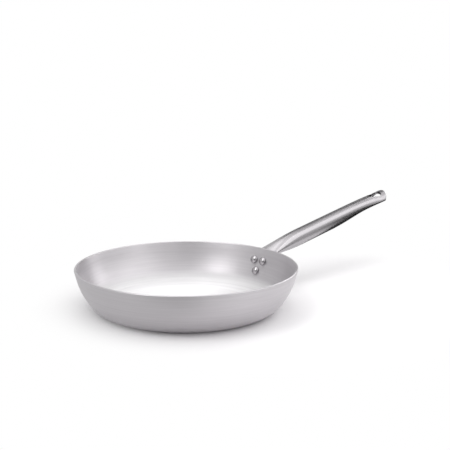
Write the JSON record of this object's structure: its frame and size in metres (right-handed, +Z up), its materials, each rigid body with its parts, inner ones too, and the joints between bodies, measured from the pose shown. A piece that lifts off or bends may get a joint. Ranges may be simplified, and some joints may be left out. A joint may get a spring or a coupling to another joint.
{
  "type": "frying pan",
  "caption": "Round aluminium frying pan with a flared curved wall and a long formed steel tube handle riveted to the wall, with a hanging hole in its pressed tip.",
  "frame": {"origin": "middle of the flat underside of the pan's base", "axes": "+X from the pan's axis along the handle, +Z up out of the pan, +Y to the left of the handle"},
  "size_m": [0.5458, 0.2792, 0.1004],
  "materials": {
    "pan_aluminium": "satin, finely turned",
    "handle_steel": "polished along the tube",
    "rivet_steel": "polished"
  },
  "bodies": {
    "root": {"pan_body": "pan_aluminium", "handle": "handle_steel", "rivet_upper_left": "rivet_steel", "rivet_upper_right": "rivet_steel", "rivet_lower": "rivet_steel"}
  },
  "joints": []
}
